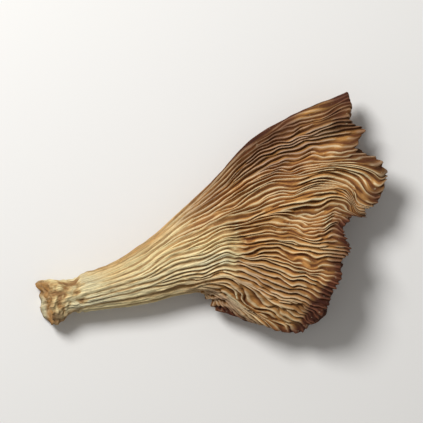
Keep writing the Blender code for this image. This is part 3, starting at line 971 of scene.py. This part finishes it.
class ChanterelleColours(bpy.types.PropertyGroup):
    """Colours of the dried flesh."""

    crest: colour_property("Crest", "The ridges' crests on the cap", (0.75, 0.56, 0.31))
    flank: colour_property("Flank", "The sides of the ridges on the cap", (0.48, 0.235, 0.07))
    # Groove, Stem Groove and Burnt colour the bottom of the gaps: partly the flesh's own dark brown, partly
    # painted shade.
    groove: colour_property("Groove", "The gaps between ridges on the cap", (0.12, 0.033, 0.010))
    ochre: colour_property("Ochre", "Orange places between ridges", (0.64, 0.32, 0.085))
    mauve: colour_property("Mauve", "Greyish pink crests", (0.58, 0.385, 0.255))
    stem: colour_property("Stem", "The stem's ridges", (0.94, 0.77, 0.40))
    stem_flank: colour_property("Stem Flank", "The sides of the stem's ridges", (0.76, 0.54, 0.25))
    stem_groove: colour_property("Stem Groove", "The gaps on the stem", (0.36, 0.19, 0.075))
    pale: colour_property("Pale", "The palest flesh", (0.86, 0.78, 0.50))
    browned: colour_property("Browned", "Crests of the browned margin", (0.19, 0.068, 0.032))
    burnt: colour_property("Burnt", "Gaps of the browned margin", (0.045, 0.011, 0.005))
    funnel: colour_property("Funnel", "The funnel's inner skin", (0.34, 0.16, 0.05))
    funnel_dark: colour_property("Funnel Streaks", "Dark streaks in the funnel", (0.15, 0.06, 0.02))
    foot: colour_property("Foot", "The torn foot", (0.46, 0.235, 0.075))


class StageSettings(bpy.types.PropertyGroup):
    """The floor, the lights and the camera."""

    floor: colour_property("Floor", "The floor's colour", (0.80, 0.79, 0.77))
    key: bpy.props.FloatProperty(
        name="Key Light",
        description="Power of the main light",
        default=0.78,
        min=0.0,
        subtype="POWER",
        unit="POWER",
    )
    fill: bpy.props.FloatProperty(
        name="Fill", description="Strength of the light from all round", default=0.29, min=0.0
    )
    lens: bpy.props.FloatProperty(
        name="Lens",
        description="Focal length in millimetres",
        default=300.0,
        min=10.0,
        subtype="DISTANCE_CAMERA",
    )
    filled: bpy.props.FloatProperty(
        name="Frame Filled",
        description="Share of the picture's width that the mushroom takes",
        default=0.84,
        min=0.1,
        max=1.0,
        subtype="FACTOR",
    )


def rgba(colour):
    """A colour with full alpha."""
    return (*colour, 1.0)


class CHANTERELLE_OT_fruit_body(bpy.types.Operator):
    """Add the whole dried fruit body, with stem, ridges and funnel in one skin"""

    bl_idname = "chanterelle.fruit_body"
    bl_label = "Fruit Body"

    def execute(self, context):
        given = context.scene.chanterelle_sizes
        sizes = {key: getattr(given, key) / MM for key in ("cap_ridge", "stem_ridge", "tooth", "flesh")}
        sizes["wrinkle"] = given.wrinkle
        rings = body_rings(sizes)
        fields = {key: rings[key] for key in ("relief", "crevice_shade", "foot")}
        fields.update(stains(rings), fibre=fibre_space(rings))
        funnel_row = FOOT_ROWS + OUTER_ROWS + LIP_ROWS // 2
        mesh = closed_mesh("fruit_body", rings["points"], fields, (FOOT_ROWS, funnel_row))
        given = context.scene.chanterelle_colours
        colours = {key: rgba(getattr(given, key)) for key in given.__annotations__}
        fibres, grain = fibres_group(), grain_group()
        for make in (torn_flesh, ridged_flesh, funnel_skin):
            mesh.materials.append(make(colours, fibres, grain))
        fruit_body = bpy.data.objects.new("fruit_body", mesh)
        context.scene.collection.objects.link(fruit_body)
        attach(fruit_body, "root")
        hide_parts(NODE)
        return {"FINISHED"}


class CHANTERELLE_OT_stage(bpy.types.Operator):
    """Add the floor, the lights and the camera that looks straight down"""

    bl_idname = "chanterelle.stage"
    bl_label = "Stage"

    def execute(self, context):
        scene = context.scene
        given = scene.chanterelle_stage
        lowest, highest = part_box(NODE)
        middle = (lowest + highest) / 2
        length = highest.x - lowest.x

        reach = FLOOR_REACH * length
        floor_mesh = bpy.data.meshes.new("floor")
        corners = [(-reach, -reach, 0), (reach, -reach, 0), (reach, reach, 0), (-reach, reach, 0)]
        floor_mesh.from_pydata(corners, [], [(0, 1, 2, 3)])
        material, tree, shader = new_material("floor_paper")
        shader.inputs["Base Color"].default_value = rgba(given.floor)
        shader.inputs["Roughness"].default_value = FLOOR_ROUGHNESS
        floor_mesh.materials.append(material)
        floor = bpy.data.objects.new("floor", floor_mesh)
        scene.collection.objects.link(floor)

        key = bpy.data.lights.new("key", "AREA")
        key.shape = "DISK"
        key.size = KEY_WIDTH * length
        key.energy = given.key
        key_object = bpy.data.objects.new("key", key)
        key_object.location = middle + Vector(KEY_DIRECTION) * KEY_AWAY * length
        key_object.rotation_euler = (key_object.location - middle).to_track_quat("Z", "Y").to_euler()
        scene.collection.objects.link(key_object)

        world = bpy.data.worlds.new("studio")
        world.use_nodes = True
        background = world.node_tree.nodes["Background"]
        background.inputs["Color"].default_value = rgba(SKY)
        background.inputs["Strength"].default_value = given.fill
        scene.world = world
        scene.view_settings.view_transform = "Standard"

        camera = bpy.data.cameras.new("camera")
        camera.lens = given.lens
        camera.clip_start = 0.01
        away = length / given.filled * camera.lens / camera.sensor_width
        camera_object = bpy.data.objects.new("camera", camera)
        camera_object.location = (middle.x, middle.y, highest.z + away)
        scene.collection.objects.link(camera_object)
        scene.camera = camera_object
        return {"FINISHED"}


class CHANTERELLE_PT_panel(bpy.types.Panel):
    """Lists the pieces and their settings"""

    bl_idname = "CHANTERELLE_PT_panel"
    bl_label = "Dried Chanterelle"
    bl_space_type = "VIEW_3D"
    bl_region_type = "UI"
    bl_category = "Chanterelle"

    def draw(self, context):
        scene = context.scene
        for title, settings, operator in (
            ("Sizes", scene.chanterelle_sizes, None),
            ("Colours", scene.chanterelle_colours, CHANTERELLE_OT_fruit_body),
            ("Stage", scene.chanterelle_stage, CHANTERELLE_OT_stage),
        ):
            box = self.layout.box()
            box.label(text=title)
            for key in settings.__annotations__:
                box.prop(settings, key)
            if operator:
                box.operator(operator.bl_idname)


SETTINGS = {
    "chanterelle_sizes": ChanterelleSizes,
    "chanterelle_colours": ChanterelleColours,
    "chanterelle_stage": StageSettings,
}
CLASSES = (*SETTINGS.values(), CHANTERELLE_OT_fruit_body, CHANTERELLE_OT_stage, CHANTERELLE_PT_panel)


def register():
    """Makes the settings, the operators and the panel known to Blender."""
    for made in CLASSES:
        bpy.utils.register_class(made)
    for name, group in SETTINGS.items():
        setattr(bpy.types.Scene, name, bpy.props.PointerProperty(type=group))


def unregister():
    """Takes them away again."""
    for name in SETTINGS:
        delattr(bpy.types.Scene, name)
    for made in reversed(CLASSES):
        bpy.utils.unregister_class(made)


def main():
    """Builds the fruit body and the stage."""
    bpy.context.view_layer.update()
    register()
    bpy.ops.chanterelle.fruit_body()
    bpy.ops.chanterelle.stage()


if __name__ == "__main__":
    main()
